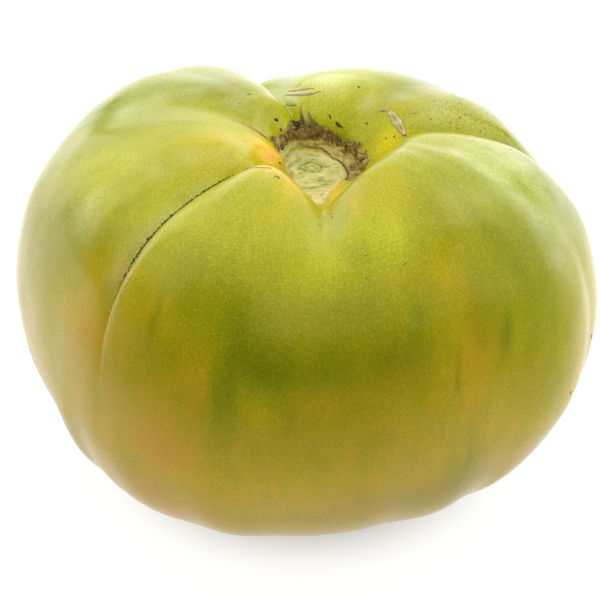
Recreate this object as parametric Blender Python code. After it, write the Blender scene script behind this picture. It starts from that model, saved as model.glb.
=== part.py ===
"""A Valencian tomato: one ribbed fruit, with its stem scar in a hollow on top and a flat resting spot below.

The plain body is a round outline turned about the stem axis. Each rib then changes the girth, the height
of the shoulder and the mouth of the hollow on its own side, and furrows sink between the ribs.
"""

from collections import namedtuple

import bmesh
import bpy
import numpy as np

# Driving dimensions in metres. An azimuth is in degrees round the stem axis, from +X towards +Y, and a
# share is a share of the outline's length, counted from the middle of the stem scar.
SEGMENTS = 96
RINGS = 50
GIRTH_RADIUS = 0.0560
GIRTH_HEIGHT = 0.0370
CROWN_RADIUS = 0.0210
CROWN_HEIGHT = 0.0759
WALL_RADIUS = 0.0088
SCAR_RADIUS = 0.0078
SCAR_TILT = 13.0
REST_RADIUS = 0.0110
DOME_HEIGHT = 0.0380

# Half of the plain body's section: radius from the stem axis and height, from the scar to the foot.
OUTLINE = [
    (0.0000, 0.0638),
    (0.0050, 0.0636),
    (SCAR_RADIUS, 0.0635),
    (WALL_RADIUS, 0.0684),
    (0.0142, 0.0740),
    (CROWN_RADIUS, CROWN_HEIGHT),
    (0.0400, 0.0706),
    (0.0506, 0.0596),
    (0.0549, 0.0490),
    (GIRTH_RADIUS, GIRTH_HEIGHT),
    (0.0538, 0.0224),
    (0.0468, 0.0110),
    (0.0320, 0.0034),
    (0.0180, 0.0004),
    (REST_RADIUS, 0.0000),
    (0.0000, 0.0000),
]

# What a rib does on its own side: the radius of its girth, how far its shoulder rises, and how far its
# crown and the wall of the hollow stand back from the stem axis.
Rib = namedtuple("Rib", "azimuth girth rise crown wall")
RIBS = [
    Rib(28, 0.0518, -0.0019, 0.0040, 0.0010),
    Rib(68, 0.0541, -0.0044, 0.0035, 0.0014),
    Rib(92, 0.0545, -0.0064, 0.0035, 0.0021),
    Rib(121, 0.0620, -0.0021, -0.0010, 0.0030),
    Rib(145, 0.0610, 0.0003, 0.0000, 0.0005),
    Rib(176, 0.0581, -0.0005, 0.0000, -0.0026),
    Rib(203, 0.0523, 0.0000, -0.0020, -0.0010),
    Rib(243, 0.0529, 0.0000, -0.0029, 0.0012),
    Rib(275, 0.0505, -0.0010, 0.0007, 0.0023),
    Rib(310, 0.0497, 0.0008, -0.0006, 0.0010),
    Rib(345, 0.0553, -0.0007, 0.0000, 0.0012),
]

# How far the foot swells out, by azimuth.
FOOT_SWELL = [
    (5, -0.0008),
    (28, 0.0005),
    (52, -0.0002),
    (76, 0.0004),
    (98, -0.0003),
    (122, 0.0005),
    (145, -0.0002),
    (167, 0.0002),
    (190, 0.0003),
    (202, 0.0023),
    (210, 0.0016),
    (219, 0.0017),
    (228, 0.0015),
    (239, -0.0003),
    (248, -0.0002),
    (259, -0.0016),
    (271, -0.0015),
    (282, -0.0016),
    (291, -0.0020),
    (305, -0.0004),
    (316, -0.0014),
    (323, -0.0010),
    (334, -0.0017),
    (347, -0.0022),
]

# The rings of the outline, by radius, over which each change comes in.
WALL_ZONE = (0.0010, SCAR_RADIUS)
HOLLOW_ZONE = (WALL_RADIUS, CROWN_RADIUS - 0.0015)
CROWN_ZONE = (CROWN_RADIUS + 0.0020, 0.0500)
RISE_ZONE = (SCAR_RADIUS, 0.0400)
SWELL_ZONE = (SCAR_RADIUS, 0.0500)
TILT_ZONE = (SCAR_RADIUS, CROWN_RADIUS)
FOOT_ZONE = (0.0200, 0.0450)
FOOT_HEIGHTS = (0.25 * GIRTH_HEIGHT, GIRTH_HEIGHT)

# A furrow's depth and width on the shoulder, its depth down the flank, the share at which it has shallowed
# to that, and the depth of the sharp crease in its bottom.
Furrow = namedtuple("Furrow", "azimuth depth width flank reach crease")
FURROWS = [
    Furrow(13.0, 0.0048, 0.0048, 0.0019, 0.52, 0.0006),
    Furrow(46.0, 0.0015, 0.0064, 0.0008, 0.48, 0.0000),
    Furrow(106.0, 0.0058, 0.0036, 0.0011, 0.47, 0.0005),
    Furrow(131.0, 0.0006, 0.0058, 0.0006, 0.44, 0.0000),
    Furrow(157.0, 0.0025, 0.0082, 0.0009, 0.40, 0.0000),
    Furrow(186.0, 0.0000, 0.0060, 0.0005, 0.50, 0.0000),
    Furrow(220.5, 0.0036, 0.0040, 0.0003, 0.44, 0.0008),
    Furrow(274.5, 0.0080, 0.0056, 0.0003, 0.35, 0.0000),
    Furrow(345.0, 0.0003, 0.0057, 0.0018, 0.50, 0.0000),
]
FURROW_START = (0.045, 0.120)
FURROW_END = (0.800, 0.920)
SHOULDER_SHARE = 0.14
FLANK_FADE = (0.5, 0.9)
FLANK_LOSS = 0.6
WIDTH_RADIUS = 0.0250
NARROWEST_RADIUS = 0.0070
FURROW_ROUNDING = 0.17
CREASE_WIDTH = 0.0011
CREASE_ROUNDING = 0.14
CREASE_FADE = (0.32, 0.54)

# The cork that stands up behind the scar, and the crack round the scar.
COLLAR_HEIGHT = 0.0007
COLLAR_RADIUS = 0.0096
COLLAR_WIDTH = 0.0016
COLLAR_MIDDLE = 80.0
COLLAR_SPREAD = 70.0
CRACK_DEPTH = 0.0004
CRACK_WIDTH = 0.0008

SKIN = ("tomato skin", (0.376, 0.327, 0.032), 0.30)
SCAR = ("stem scar", (0.610, 0.546, 0.242), 0.70)
CORK = ("cork collar", (0.171, 0.102, 0.026), 0.85)


def smooth(low, high, value):
    """0 up to low, 1 from high on, and an even S between them."""
    share = np.clip((value - low) / (high - low), 0, 1)
    return share * share * (3 - 2 * share)


def hermite(knots, values, slopes, at):
    """A smooth curve through values at knots, read at places between them."""
    first = np.clip(np.searchsorted(knots, at, side="right") - 1, 0, len(knots) - 2)
    step = knots[first + 1] - knots[first]
    t = (at - knots[first]) / step
    ends = (1 + 2 * t) * (1 - t) ** 2 * values[first] + t * t * (3 - 2 * t) * values[first + 1]
    return ends + step * t * (1 - t) * ((1 - t) * slopes[first] - t * slopes[first + 1])


def outline(fraction):
    """Radius, height and share of the length run, for points a fraction of the way from scar to foot."""
    points = np.array(OUTLINE)
    chords = np.hypot(*np.diff(points, axis=0).T)
    knots = np.concatenate([[0], np.cumsum(np.sqrt(chords))])
    step = np.diff(knots)[:, None]
    pitch = np.diff(points, axis=0) / step
    inner = (pitch[1:] * step[:-1] + pitch[:-1] * step[1:]) / (step[:-1] + step[1:])
    level = np.array([1, 0])
    slopes = np.concatenate([pitch[:1] * level, inner, pitch[-1:] * level])
    fine = np.linspace(0, 1, 2000)
    radius = hermite(knots, points[:, 0], slopes[:, 0], fine * knots[-1])
    height = hermite(knots, points[:, 1], slopes[:, 1], fine * knots[-1])
    run = np.concatenate([[0], np.cumsum(np.hypot(np.diff(radius), np.diff(height)))])
    return [np.interp(fraction, fine, column) for column in (radius, height, run / run[-1])]


def around(azimuth, stations):
    """A value read smoothly all the way round, from stations that pair an azimuth with the value there."""
    places, values = np.array(stations, float).T
    places = np.concatenate([places[-2:] - 360, places, places[:2] + 360])
    values = np.concatenate([values[-2:], values, values[:2]])
    slopes = np.zeros(len(values))
    slopes[1:-1] = (values[2:] - values[:-2]) / (places[2:] - places[:-2])
    return hermite(places, values, slopes, np.mod(azimuth - places[2], 360) + places[2])


def ribs_at(azimuth, quality):
    """A quality of the ribs, read from rib to rib."""
    return around(azimuth, [(rib.azimuth, getattr(rib, quality)) for rib in RIBS])


def turn_between(azimuth, other):
    """The signed angle from other to azimuth, the short way round."""
    return (azimuth - other + 180) % 360 - 180


def valley(across, rounding):
    """The section of a furrow: 1 in its rounded bottom, and less on either side."""
    return np.exp(rounding - np.hypot(across, rounding))


def furrow_depth(azimuth, radius, share):
    """How deep the furrows and their creases lie below the plain body."""
    present = smooth(*FURROW_START, share) * (1 - smooth(*FURROW_END, share))
    reach_round = np.maximum(radius, NARROWEST_RADIUS)
    depth = 0
    for furrow in FURROWS:
        across = np.radians(turn_between(azimuth, furrow.azimuth)) * reach_round
        shoulder = 1 - smooth(SHOULDER_SHARE, furrow.reach, share)
        flank = (1 - shoulder) * (1 - FLANK_LOSS * smooth(*FLANK_FADE, share))
        middle = furrow.depth * shoulder + furrow.flank * flank
        width = furrow.width * np.sqrt(reach_round / WIDTH_RADIUS)
        depth = depth + present * middle * valley(across / width, FURROW_ROUNDING)
        sharp = present * furrow.crease * (1 - smooth(*CREASE_FADE, share))
        depth = depth + sharp * valley(across / CREASE_WIDTH, CREASE_ROUNDING)
    return depth


def stem_relief(azimuth, radius):
    """What stands up in the stem hollow: the collar of rough cork, less the crack round the scar."""
    off_middle = turn_between(azimuth, COLLAR_MIDDLE) / COLLAR_SPREAD
    rough = 1 + 0.3 * np.sin(np.radians(7 * azimuth)) + 0.2 * np.sin(np.radians(13 * azimuth + 40))
    ridge = np.exp(-(((radius - COLLAR_RADIUS) / COLLAR_WIDTH) ** 2) - off_middle**4)
    crack = np.exp(-(((radius - SCAR_RADIUS + CRACK_WIDTH) / CRACK_WIDTH) ** 2))
    return COLLAR_HEIGHT * rough * ridge - CRACK_DEPTH * crack


def surface(fraction, azimuth):
    """Points on the skin, a fraction of the way from scar to foot and at an azimuth."""
    radius, height, share = outline(fraction)
    upper = height > GIRTH_HEIGHT
    hollow = 1 - smooth(*HOLLOW_ZONE, radius)
    wall = upper * hollow * smooth(*WALL_ZONE, radius)
    crown = upper * (1 - hollow) * (1 - smooth(*CROWN_ZONE, radius))
    shoulder = smooth(*RISE_ZONE, radius) * smooth(GIRTH_HEIGHT, CROWN_HEIGHT, height)
    foot = smooth(*FOOT_ZONE, radius) * (1 - smooth(*FOOT_HEIGHTS, height))
    swell = (ribs_at(azimuth, "girth") / GIRTH_RADIUS - 1) * smooth(*SWELL_ZONE, radius)
    tilted = upper * (1 - smooth(*TILT_ZONE, radius))
    angle = np.radians(azimuth)

    out = radius * (1 + swell) + around(azimuth, FOOT_SWELL) * foot
    out = out + ribs_at(azimuth, "crown") * crown + ribs_at(azimuth, "wall") * wall
    up = height + ribs_at(azimuth, "rise") * shoulder
    up = up + np.tan(np.radians(SCAR_TILT)) * radius * np.sin(angle) * tilted

    # The furrows sink, and the cork rises, square to a plain dome that has no hollow in it.
    normal_out = radius / GIRTH_RADIUS**2
    normal_up = (height - GIRTH_HEIGHT) / DOME_HEIGHT**2
    sink = furrow_depth(azimuth, radius, share) - upper * stem_relief(azimuth, radius)
    sink = sink / np.hypot(normal_out, normal_up)
    out = out - sink * normal_out
    up = np.maximum(up - sink * normal_up, 0)
    return np.stack([out * np.cos(angle), out * np.sin(angle), up], axis=-1)


def column_azimuth(column):
    """The azimuth of a column of the mesh, set so that a column runs down the bottom of every furrow."""
    furrows = np.array([furrow.azimuth for furrow in FURROWS])
    columns = np.round(furrows / 360 * SEGMENTS)
    columns = np.concatenate([columns, columns[:1] + SEGMENTS])
    furrows = np.concatenate([furrows, furrows[:1] + 360])
    return np.interp(np.mod(column - columns[0], SEGMENTS) + columns[0], columns, furrows)


def material(name, colour, roughness):
    made = bpy.data.materials.new(name)
    made.use_nodes = True
    shader = made.node_tree.nodes["Principled BSDF"]
    shader.inputs["Base Color"].default_value = (*colour, 1)
    shader.inputs["Roughness"].default_value = roughness
    shader.inputs["Metallic"].default_value = 0
    return made


def colour_regions(cage, fraction, column):
    """Gives the scar and the cork behind it their own materials."""
    radius, height, _ = outline(fraction)
    behind = np.abs(turn_between(column_azimuth(column), COLLAR_MIDDLE)) < COLLAR_SPREAD
    on_scar = (height > GIRTH_HEIGHT) & (radius < WALL_RADIUS)
    on_collar = (height > GIRTH_HEIGHT) & (radius < COLLAR_RADIUS + COLLAR_WIDTH / 2) & behind
    cage.verts.index_update()
    for face in cage.faces:
        corners = [vertex.index for vertex in face.verts]
        if on_scar[corners].all():
            face.material_index = 1
        elif (on_collar | on_scar)[corners].all():
            face.material_index = 2


def fruit_mesh():
    """A unit sphere whose points are moved out to the fruit's skin, its middle over the origin."""
    cage = bmesh.new()
    bmesh.ops.create_uvsphere(cage, u_segments=SEGMENTS, v_segments=RINGS, radius=1)
    points = np.array([vertex.co for vertex in cage.verts])
    fraction = np.round(np.arccos(np.clip(points[:, 2], -1, 1)) / np.pi * RINGS) / RINGS
    column = np.round(np.arctan2(points[:, 1], points[:, 0]) / (2 * np.pi) * SEGMENTS)
    skin = surface(fraction, column_azimuth(column))
    middle = (skin.min(axis=0) + skin.max(axis=0)) / 2
    for vertex, place in zip(cage.verts, skin - [middle[0], middle[1], 0]):
        vertex.co = place
    colour_regions(cage, fraction, column)
    bmesh.ops.recalc_face_normals(cage, faces=cage.faces)
    mesh = bpy.data.meshes.new("tomato")
    cage.to_mesh(mesh)
    cage.free()
    return mesh


def tomato():
    mesh = fruit_mesh()
    for finish in (SKIN, SCAR, CORK):
        mesh.materials.append(material(*finish))
    mesh.shade_smooth()
    return bpy.data.objects.new("tomato", mesh)


def main():
    for thing in list(bpy.data.objects):
        bpy.data.objects.remove(thing, do_unlink=True)
    collection = bpy.data.collections.new("valencian tomato")
    bpy.context.scene.collection.children.link(collection)
    collection.objects.link(tomato())


main()
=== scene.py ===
"""The looks of a ribbed Valencian tomato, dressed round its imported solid.

The skin repeats the solid's formula on a finer mesh. The scar, the cork and the small marks are pieces of
their own that lie on that same formula.
"""

import functools
import math
from collections import namedtuple

import bmesh
import bpy
import numpy as np
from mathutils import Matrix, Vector


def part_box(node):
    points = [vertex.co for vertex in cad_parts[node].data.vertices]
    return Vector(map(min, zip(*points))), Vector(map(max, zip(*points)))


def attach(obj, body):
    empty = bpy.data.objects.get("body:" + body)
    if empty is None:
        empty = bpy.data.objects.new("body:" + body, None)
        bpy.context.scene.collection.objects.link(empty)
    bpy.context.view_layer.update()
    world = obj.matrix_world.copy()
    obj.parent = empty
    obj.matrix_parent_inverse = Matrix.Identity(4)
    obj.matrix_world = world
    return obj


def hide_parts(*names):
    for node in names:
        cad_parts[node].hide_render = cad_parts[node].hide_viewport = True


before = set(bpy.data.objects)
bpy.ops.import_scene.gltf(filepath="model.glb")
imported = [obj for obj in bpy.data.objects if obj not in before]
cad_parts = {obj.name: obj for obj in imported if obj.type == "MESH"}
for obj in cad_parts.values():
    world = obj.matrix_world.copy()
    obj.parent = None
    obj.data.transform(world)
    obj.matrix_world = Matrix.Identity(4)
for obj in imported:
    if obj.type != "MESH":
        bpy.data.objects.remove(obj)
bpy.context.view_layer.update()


def table(fields, *rows):
    """Rows whose values have names."""
    row_of = namedtuple("Row", fields)
    return [row_of(*row) for row in rows]


# The form, in metres, as in the solid's source. An azimuth is in degrees round the stem axis, from +X
# towards +Y, and a share is a share of the outline's length, counted from the middle of the stem scar.
GIRTH_RADIUS = 0.0560
GIRTH_HEIGHT = 0.0370
CROWN_RADIUS = 0.0210
CROWN_HEIGHT = 0.0759
WALL_RADIUS = 0.0088
SCAR_RADIUS = 0.0078
SCAR_TILT = 13.0
REST_RADIUS = 0.0110
DOME_HEIGHT = 0.0380

OUTLINE = [
    (0, 0.0638), (0.005, 0.0636), (SCAR_RADIUS, 0.0635), (WALL_RADIUS, 0.0684), (0.0142, 0.074),
    (CROWN_RADIUS, CROWN_HEIGHT), (0.04, 0.0706), (0.0506, 0.0596), (0.0549, 0.049),
    (GIRTH_RADIUS, GIRTH_HEIGHT), (0.0538, 0.0224), (0.0468, 0.011), (0.032, 0.0034),
    (0.018, 0.0004), (REST_RADIUS, 0), (0, 0),
]

RIBS = table(
    "azimuth girth rise crown wall",
    (28, 0.0518, -0.0019, 0.004, 0.001), (68, 0.0541, -0.0044, 0.0035, 0.0014),
    (92, 0.0545, -0.0064, 0.0035, 0.0021), (121, 0.062, -0.0021, -0.001, 0.003),
    (145, 0.061, 0.0003, 0, 0.0005), (176, 0.0581, -0.0005, 0, -0.0026),
    (203, 0.0523, 0, -0.002, -0.001), (243, 0.0529, 0, -0.0029, 0.0012),
    (275, 0.0505, -0.001, 0.0007, 0.0023), (310, 0.0497, 0.0008, -0.0006, 0.001),
    (345, 0.0553, -0.0007, 0, 0.0012),
)

# How far the foot swells out, by azimuth.
FOOT_SWELL = [
    (5, -0.0008), (28, 0.0005), (52, -0.0002), (76, 0.0004), (98, -0.0003), (122, 0.0005),
    (145, -0.0002), (167, 0.0002), (190, 0.0003), (202, 0.0023), (210, 0.0016), (219, 0.0017),
    (228, 0.0015), (239, -0.0003), (248, -0.0002), (259, -0.0016), (271, -0.0015), (282, -0.0016),
    (291, -0.002), (305, -0.0004), (316, -0.0014), (323, -0.001), (334, -0.0017), (347, -0.0022),
]
WALL_ZONE = (0.0010, SCAR_RADIUS)
HOLLOW_ZONE = (WALL_RADIUS, CROWN_RADIUS - 0.0015)
CROWN_ZONE = (CROWN_RADIUS + 0.0020, 0.0500)
RISE_ZONE = (SCAR_RADIUS, 0.0400)
SWELL_ZONE = (SCAR_RADIUS, 0.0500)
TILT_ZONE = (SCAR_RADIUS, CROWN_RADIUS)
FOOT_ZONE = (0.0200, 0.0450)
FOOT_HEIGHTS = (0.25 * GIRTH_HEIGHT, GIRTH_HEIGHT)

FURROWS = table(
    "azimuth depth width flank reach crease",
    (13, 0.0048, 0.0048, 0.0019, 0.52, 0.0006), (46, 0.0015, 0.0064, 0.0008, 0.48, 0),
    (106, 0.0058, 0.0036, 0.0011, 0.47, 0.0005), (131, 0.0006, 0.0058, 0.0006, 0.44, 0),
    (157, 0.0025, 0.0082, 0.0009, 0.4, 0), (186, 0, 0.006, 0.0005, 0.5, 0),
    (220.5, 0.0036, 0.004, 0.0003, 0.44, 0.0008), (274.5, 0.008, 0.0056, 0.0003, 0.35, 0),
    (345, 0.0003, 0.0057, 0.0018, 0.5, 0),
)
FURROW_START = (0.045, 0.120)
FURROW_END = (0.800, 0.920)
SHOULDER_SHARE = 0.14
FLANK_FADE = (0.5, 0.9)
FLANK_LOSS = 0.6
WIDTH_RADIUS = 0.0250
NARROWEST_RADIUS = 0.0070
FURROW_ROUNDING = 0.17
CREASE_WIDTH = 0.0011
CREASE_ROUNDING = 0.14
CREASE_FADE = (0.32, 0.54)

# The fine skin: how many columns and rows it has, and how much closer its columns lie at a crease.
COLUMNS = 480
ROWS = 204
CREASE_CROWDING = 2.5
CROWDED_DEGREES = 3.0

# The skin's own unevenness, as height and size, and the dimple round the blossom scar.
WAVE_HEIGHT, WAVE_SIZE = 0.00017, 0.0095
RIPPLE_HEIGHT, RIPPLE_SIZE = 0.00003, 0.0030
RIDGE_HEIGHT, RIDGE_SIZE, RIDGE_REACH = 0.00014, 0.13, 6.0
RIDGE_ZONE = (0.010, 0.030)
LEVEL_HEIGHTS = (0.0003, 0.0030)
DIMPLE_DEPTH = 0.0009
DIMPLE_RADIUS = 0.0052
NOISE_CELLS = 32

# Steps on the skin for its slopes, how deep the marks' edges sink into it, and the mesh of the marks.
NUDGE_SHARE = 0.0004
NUDGE_DEGREES = 0.15
RIBBON_SINK = 0.00003
DASH_SINK = 0.00002
DASH_ROWS = 11
DASH_COLUMNS = 5
WELD_DISTANCE = 1e-7

# The camera: it looks along +Y from above, as the photograph does. The scale is at its target, and the image
# width is in pixels.
CAMERA_TARGET = (-0.0009, -0.0027, 0.0368)
CAMERA_DISTANCE = 0.62
CAMERA_ELEVATION = 32.7
SENSOR_WIDTH = 36.0
PIXELS_PER_MM = 5.21
IMAGE_WIDTH = 600

# How ripe the skin is, from 0, deep green, to 1, rose, by share down the fruit.
TONE_BY_SHARE = [
    (0.0, 0.5), (0.12, 0.48), (0.22, 0.38), (0.37, 0.38), (0.43, 0.54), (0.5, 0.72), (0.6, 0.8),
    (1.0, 0.86),
]
TONE_COLOURS = [
    (0.0, (0.29, 0.335, 0.003)), (0.2, (0.37, 0.39, 0.003)), (0.4, (0.48, 0.462, 0.003)),
    (0.55, (0.55, 0.484, 0.004)), (0.7, (0.66, 0.515, 0.006)), (0.8, (0.76, 0.535, 0.012)),
    (0.92, (0.86, 0.525, 0.02)), (1.0, (0.88, 0.48, 0.03)),
]

# Soft patches: azimuth, share, half turn, half share and amount, with the shares and the amount in
# hundredths. These are riper, or greener where the amount is below 0.
TONE_PATCHES = [
    (92, 45, 46, 12, -16), (58, 47, 8, 7, 22), (76, 40, 5, 5, 26), (86, 52, 10, 6, 18), (97, 37, 7, 5, -16),
    (104, 45, 5, 6, 30), (120, 50, 8, 7, 20), (134, 42, 6, 5, 26), (148, 53, 9, 6, 18),
    (85, 22, 55, 17, -34), (160, 26, 26, 8, -24), (150, 13, 12, 3, -20), (5, 35, 17, 9, -26),
    (338, 29, 24, 13, -26), (14, 11.2, 11, 2.2, 28), (205, 19, 20, 5, 13), (212, 43, 9, 6, 28),
    (222, 37, 9, 3, 20), (225, 43, 8, 5, 16), (236, 39, 6, 3, 18), (246, 43.5, 5, 4, 26),
    (218, 52, 12, 7, 6), (238, 55, 8, 5, 24), (234, 65, 12, 3, 18), (240, 17, 9, 3, 34),
    (182, 10.2, 27, 3, 52), (196, 15, 18, 4, 16), (253, 15.6, 15, 1.4, 42), (259, 18, 10, 2.6, 26),
    (257, 23.5, 7, 5, 13), (246, 31, 7, 3, -13), (288, 20, 6, 3.5, 22), (288, 27.5, 6, 3, -12),
    (317, 4, 28, 3, 35), (303, 21, 8, 5, 16), (311, 31, 5, 4, 16), (297, 35.5, 8, 2, 16),
    (305, 36, 4, 4.5, 30), (307, 45, 5, 5, 26), (290, 38, 5, 3, 12), (294, 39.2, 2.5, 2, -22),
    (281, 29, 4, 2.5, -18), (254, 41, 5, 4.5, -26), (261, 43, 6, 3.5, -30), (252, 47, 2.5, 4.5, -34),
    (268, 45.5, 8, 1.8, 14), (274, 42, 8, 3, -10), (324, 43, 7, 5, -26), (327, 52, 9, 9, -16),
    (305, 60, 7, 5, -12), (35, 45, 20, 9, 18), (80, 48, 12, 7, -22), (120, 52, 15, 8, 14),
    (165, 47, 10, 6, -16),
]

# Painted light and shade: the skin drawn lighter or darker than its tone in patches, and darker below by
# share.
PAINTED_LIGHT_PATCHES = [
    (88, 14, 36, 9, 40), (353, 25, 16, 6, 16), (16, 11.2, 10, 2.2, 34), (99, 14.2, 9, 2, -14),
    (135, 18.5, 10, 3, -14), (310, 26, 8, 4, -16), (316, 31, 8, 4, -10), (229, 21, 7, 3, 12),
    (204, 22.5, 8, 3, -8), (222, 30, 14, 6, 22), (134, 18, 16, 7, -24), (180, 12, 20, 3, 10),
    (289, 29, 11, 6, 30), (268, 33.5, 10, 3, 22), (246, 31, 8, 3, 18), (203, 45, 8, 6, 6),
    (189, 30, 14, 6, 34), (205, 36, 12, 5, -12), (145, 22, 28, 8, 10), (106, 24, 12, 7, 15),
    (97, 15, 10, 4, 10), (46, 17, 12, 7, -26), (199, 34, 8, 3, 30), (163, 27, 12, 4, 16),
    (345, 31, 10, 5, 22), (2, 33, 10, 6, -12), (284, 44, 14, 3, -16), (309, 42, 4, 5, -18),
    (258, 47.5, 5, 3, 18), (324, 44, 6, 4, 20), (288, 55, 22, 6, -8), (290, 63, 25, 4, -14),
    (305, 62, 14, 5, -12), (90, 45, 52, 11, -26), (60, 54, 24, 7, -12), (118, 56, 26, 8, -14),
    (70, 33, 14, 5, 12), (122, 36, 12, 5, 10),
]
PAINTED_SHADE_BY_SHARE = [(0, 1), (0.58, 0.98), (0.65, 0.72), (0.71, 0.56), (1, 0.74)]

# How strong the pale dots are, by share.
DOTS_BY_SHARE = [(0.28, 1), (0.44, 0.35)]

# Where the skin is a deeper green, where it is a paler yellow, and below, painted highlights as whitish
# streaks.
DEEP_PATCHES = [
    (234, 40, 1.2, 3, 35), (254, 39.5, 2.8, 3, 20), (261, 42.5, 3.5, 3.5, 22), (250, 47, 1, 3.5, 22),
    (264, 48, 1.4, 2, 25), (271, 42, 7, 2.5, 25), (289, 42, 6, 3, 30), (314.5, 44.5, 1.8, 2.5, 50),
    (322, 47, 2.2, 2.2, 30), (303.5, 46.5, 0.6, 3, 50), (305, 58, 0.9, 3.5, 30), (62, 42, 2, 4, 35),
    (71, 47, 1.3, 3, 30), (80, 39.5, 4.5, 3, 28), (91, 50, 1.6, 3.5, 40), (98, 43, 2.6, 3.5, 32),
    (110, 48, 1.4, 4, 36), (117, 40, 3.6, 3, 26), (128, 44, 1.5, 4, 40), (141, 41, 2.8, 3, 28),
    (152, 47, 1.5, 3.5, 34), (170, 50, 1.4, 3.5, 35),
]
PALE_PATCHES = [
    (292, 28, 7, 6, 22), (268, 34, 10, 3.5, 12), (16, 11.5, 12, 2.5, 26), (202, 49, 5, 6, 20),
    (145, 5.5, 24, 1.8, 50), (105, 30, 9, 6, 15),
]


def stroke(half_turn, half_share, amount, *places):
    """Soft patches of one size and strength at a line of places."""
    return [(azimuth, share, half_turn, half_share, amount) for azimuth, share in places]


PAINTED_HIGHLIGHT_PATCHES = [
    *stroke(7, 1.6, 22, (160, 27), (153, 24), (147, 20), (144, 15)),
    *stroke(7, 1.4, 16, (200, 25), (203, 21), (210, 18), (230, 17.5)),
    *stroke(3.5, 2.6, 20, (219, 37.5), (220, 33), (220, 28), (220, 23), (232, 20), (245, 18)),
    *stroke(6, 1.8, 20, (50, 12), (40, 15), (32, 20), (29, 27)),
    *stroke(3, 2.4, 32, (329, 16), (339, 18), (343, 21.5), (340, 26), (337, 30), (336, 34.5)),
    (336, 39.5, 3, 2.4, 32), (24, 17.5, 8, 2.5, 25), (197, 35.5, 8, 3.5, 35), (357, 32, 12, 5, 55),
    (352, 24, 12, 4, 28), (347, 39, 8, 5, 25), (80, 13, 12, 2, 38), (186, 44, 9, 8, 25),
]

# How far the patches' edges wander, and over what length. The streaks' noise runs this far down the fruit.
PATCH_WOBBLE_DEGREES = 2.2
PATCH_WOBBLE_SHARE = 0.012
PATCH_WOBBLE_SIZE = 0.011
MERIDIAN_LENGTH = 3

# The stem scar's edge, and the two edges of the torn cork beside it: azimuths with radii or shares.
BUTTON_EDGE = [
    (11, 0.0055), (40, 0.0059), (61, 0.0057), (83, 0.007), (101, 0.0072), (112, 0.0071), (126, 0.0062),
    (155, 0.007), (183, 0.0076), (223, 0.0072), (268, 0.0062), (285, 0.0057), (294, 0.0049),
    (321, 0.0044), (352, 0.0045),
]
CORK_INNER = [
    (-6, 0.027), (11, 0.032), (40, 0.034), (61, 0.033), (81, 0.042), (100, 0.043), (112, 0.042),
    (124, 0.036), (133, 0.037), (143, 0.039), (154, 0.05),
]
CORK_OUTER = [
    (-6, 0.068), (-3, 0.08), (3, 0.092), (12, 0.091), (19, 0.088), (27, 0.081), (38, 0.076),
    (48, 0.072), (57, 0.067), (63, 0.069), (71, 0.074), (79, 0.077), (88, 0.08), (93, 0.084),
    (97, 0.09), (101, 0.104), (104, 0.119), (107, 0.122), (110, 0.112), (113, 0.095), (117, 0.079),
    (121, 0.071), (129, 0.072), (142, 0.084), (150, 0.091), (154, 0.08),
]


def smooth(low, high, value):
    """0 up to low, 1 from high on, and an even S between them."""
    share = np.clip((value - low) / (high - low), 0, 1)
    return share * share * (3 - 2 * share)


def bell(value, middle, width):
    """1 at the middle, and falling away smoothly over a width on both sides."""
    return np.exp(-(((value - middle) / width) ** 2))


def grid(rows, columns, down=(0, 1), across=(0, 1)):
    """Even steps down a grid's rows and across its columns, at each of its points."""
    return np.meshgrid(np.linspace(*down, rows), np.linspace(*across, columns), indexing="ij")


def polar(radius, azimuth):
    """Points of the level plane."""
    angle = np.radians(azimuth)
    return np.stack([radius * np.cos(angle), radius * np.sin(angle), 0 * angle], axis=-1)


def hermite(knots, values, slopes, at):
    """A smooth curve through values at knots, read at places between them."""
    first = np.clip(np.searchsorted(knots, at, side="right") - 1, 0, len(knots) - 2)
    step = knots[first + 1] - knots[first]
    t = (at - knots[first]) / step
    ends = (1 + 2 * t) * (1 - t) ** 2 * values[first] + t * t * (3 - 2 * t) * values[first + 1]
    return ends + step * t * (1 - t) * ((1 - t) * slopes[first] - t * slopes[first + 1])


def outline_table():
    """Radius, height and share of the length run at even fractions of the way from scar to foot."""
    points = np.array(OUTLINE)
    chords = np.hypot(*np.diff(points, axis=0).T)
    knots = np.concatenate([[0], np.cumsum(np.sqrt(chords))])
    step = np.diff(knots)[:, None]
    pitch = np.diff(points, axis=0) / step
    inner = (pitch[1:] * step[:-1] + pitch[:-1] * step[1:]) / (step[:-1] + step[1:])
    level = np.array([1, 0])
    slopes = np.concatenate([pitch[:1] * level, inner, pitch[-1:] * level])
    fine = np.linspace(0, 1, 2000)
    at = fine * knots[-1]
    radius, height = (hermite(knots, *column, at) for column in zip(points.T, slopes.T))
    run = np.concatenate([[0], np.cumsum(np.hypot(np.diff(radius), np.diff(height)))])
    return fine, radius, height, run / run[-1]


EVEN_FRACTIONS, EVEN_RADII, EVEN_HEIGHTS, EVEN_SHARES = outline_table()


def outline(fraction):
    """Radius, height and share of the length run, for points a fraction of the way from scar to foot."""
    columns = EVEN_RADII, EVEN_HEIGHTS, EVEN_SHARES
    return [np.interp(fraction, EVEN_FRACTIONS, column) for column in columns]


def around(azimuth, stations):
    """A value read smoothly all the way round, from stations that pair an azimuth with the value there."""
    places, values = np.array(stations, float).T
    places = np.concatenate([places[-2:] - 360, places, places[:2] + 360])
    values = np.concatenate([values[-2:], values, values[:2]])
    slopes = np.zeros(len(values))
    slopes[1:-1] = (values[2:] - values[:-2]) / (places[2:] - places[:-2])
    return hermite(places, values, slopes, np.mod(azimuth - places[2], 360) + places[2])


def ribs_at(azimuth, quality):
    """A quality of the ribs, read from rib to rib."""
    return around(azimuth, [(rib.azimuth, getattr(rib, quality)) for rib in RIBS])


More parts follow.
